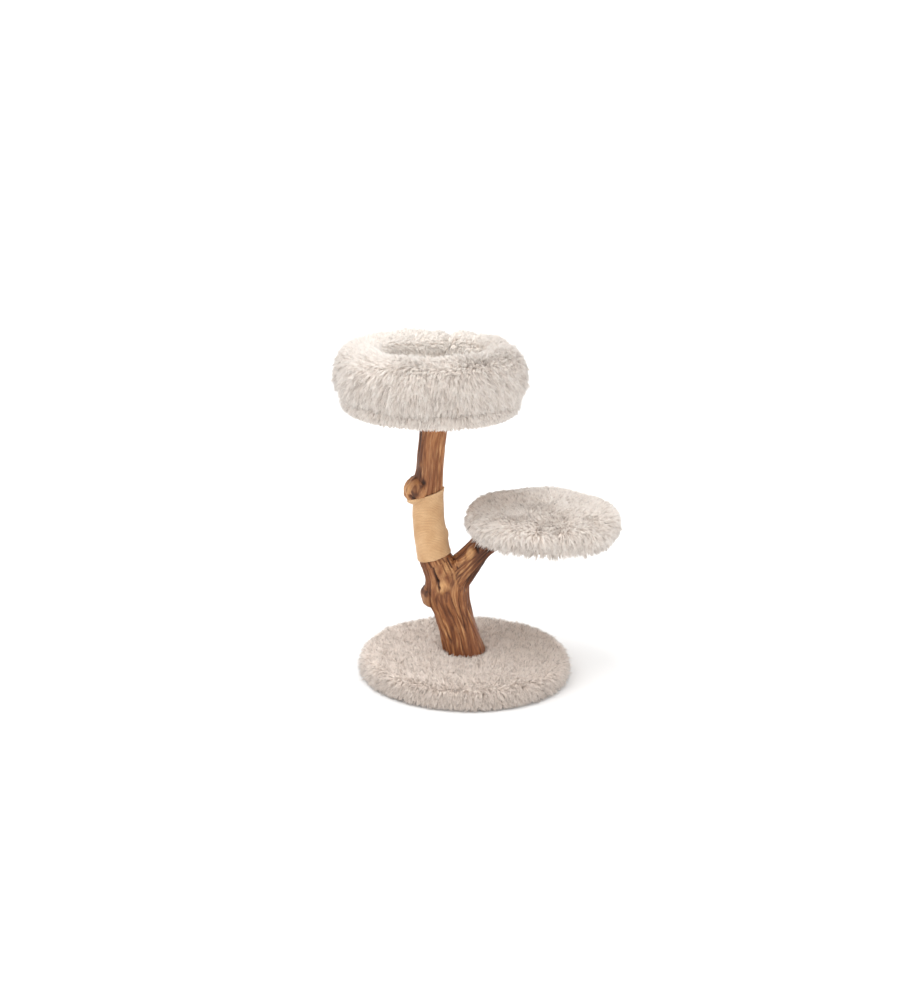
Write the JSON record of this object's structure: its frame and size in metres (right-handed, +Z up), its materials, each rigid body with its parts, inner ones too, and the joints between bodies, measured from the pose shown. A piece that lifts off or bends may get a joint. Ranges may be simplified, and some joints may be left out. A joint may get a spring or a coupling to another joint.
{
  "type": "cat tree",
  "caption": "Small cat tree: round fur-covered base, forked natural branch with a woven scratch sleeve, ring-shaped nest bed on top and a round cushioned perch on the limb.",
  "frame": {"origin": "on the floor under the centre of the round base, at the underside of its middle foot", "axes": "+Z up, +X towards the perch, -Y the front"},
  "size_m": [0.6679, 0.492, 0.7903],
  "materials": {
    "fur": "long-pile faux fur, cream with taupe depths",
    "trunk_wood": "debarked hardwood branch, deep grain, satin oil",
    "jute": "tightly woven jute",
    "board": "raw fibreboard",
    "foam": "open-cell foam",
    "fibre_fill": "polyester fibre filling",
    "lining": "plain woven lining",
    "foot_rubber": "matte moulded rubber",
    "zinc_steel": "zinc-plated steel",
    "hook_tape": "moulded hook tape",
    "loop_tape": "brushed loop tape"
  },
  "bodies": {
    "stand": {"base_board": "board", "base_padding": "foam", "base_cover": "fur", "base_lining": "lining", "base_feet": "foot_rubber", "foot_screws": "zinc_steel", "base_staples": "zinc_steel", "trunk_lag_screws": "zinc_steel", "trunk_washers": "zinc_steel", "trunk": "trunk_wood", "scratch_sleeve": "jute", "sleeve_staples": "zinc_steel", "top_board": "board", "top_screws": "zinc_steel", "top_hook_pads": "hook_tape", "perch_board": "board", "perch_screws": "zinc_steel", "perch_hook_pads": "hook_tape"},
    "top_bed": {"bed_floor": "lining", "bed_loop_pads": "loop_tape", "bed_skirt": "fur", "bolster_cover": "fur", "bolster_filling": "fibre_fill"},
    "nest_cushion": {"nest_cover": "fur", "nest_foam": "foam"},
    "perch_cushion": {"perch_base_cloth": "lining", "perch_loop_pads": "loop_tape", "perch_foam": "foam", "perch_cover": "fur"}
  },
  "joints": [
    {"name": "bed_lift", "type": "slide", "parent": "stand", "child": "top_bed", "axis": [0, 0, 1], "range_m": [0, 0.15]},
    {"name": "cushion_lift", "type": "slide", "parent": "top_bed", "child": "nest_cushion", "axis": [0, 0, 1], "range_m": [0, 0.13]},
    {"name": "perch_lift", "type": "slide", "parent": "stand", "child": "perch_cushion", "axis": [0, 0, 1], "range_m": [0, 0.1]}
  ]
}
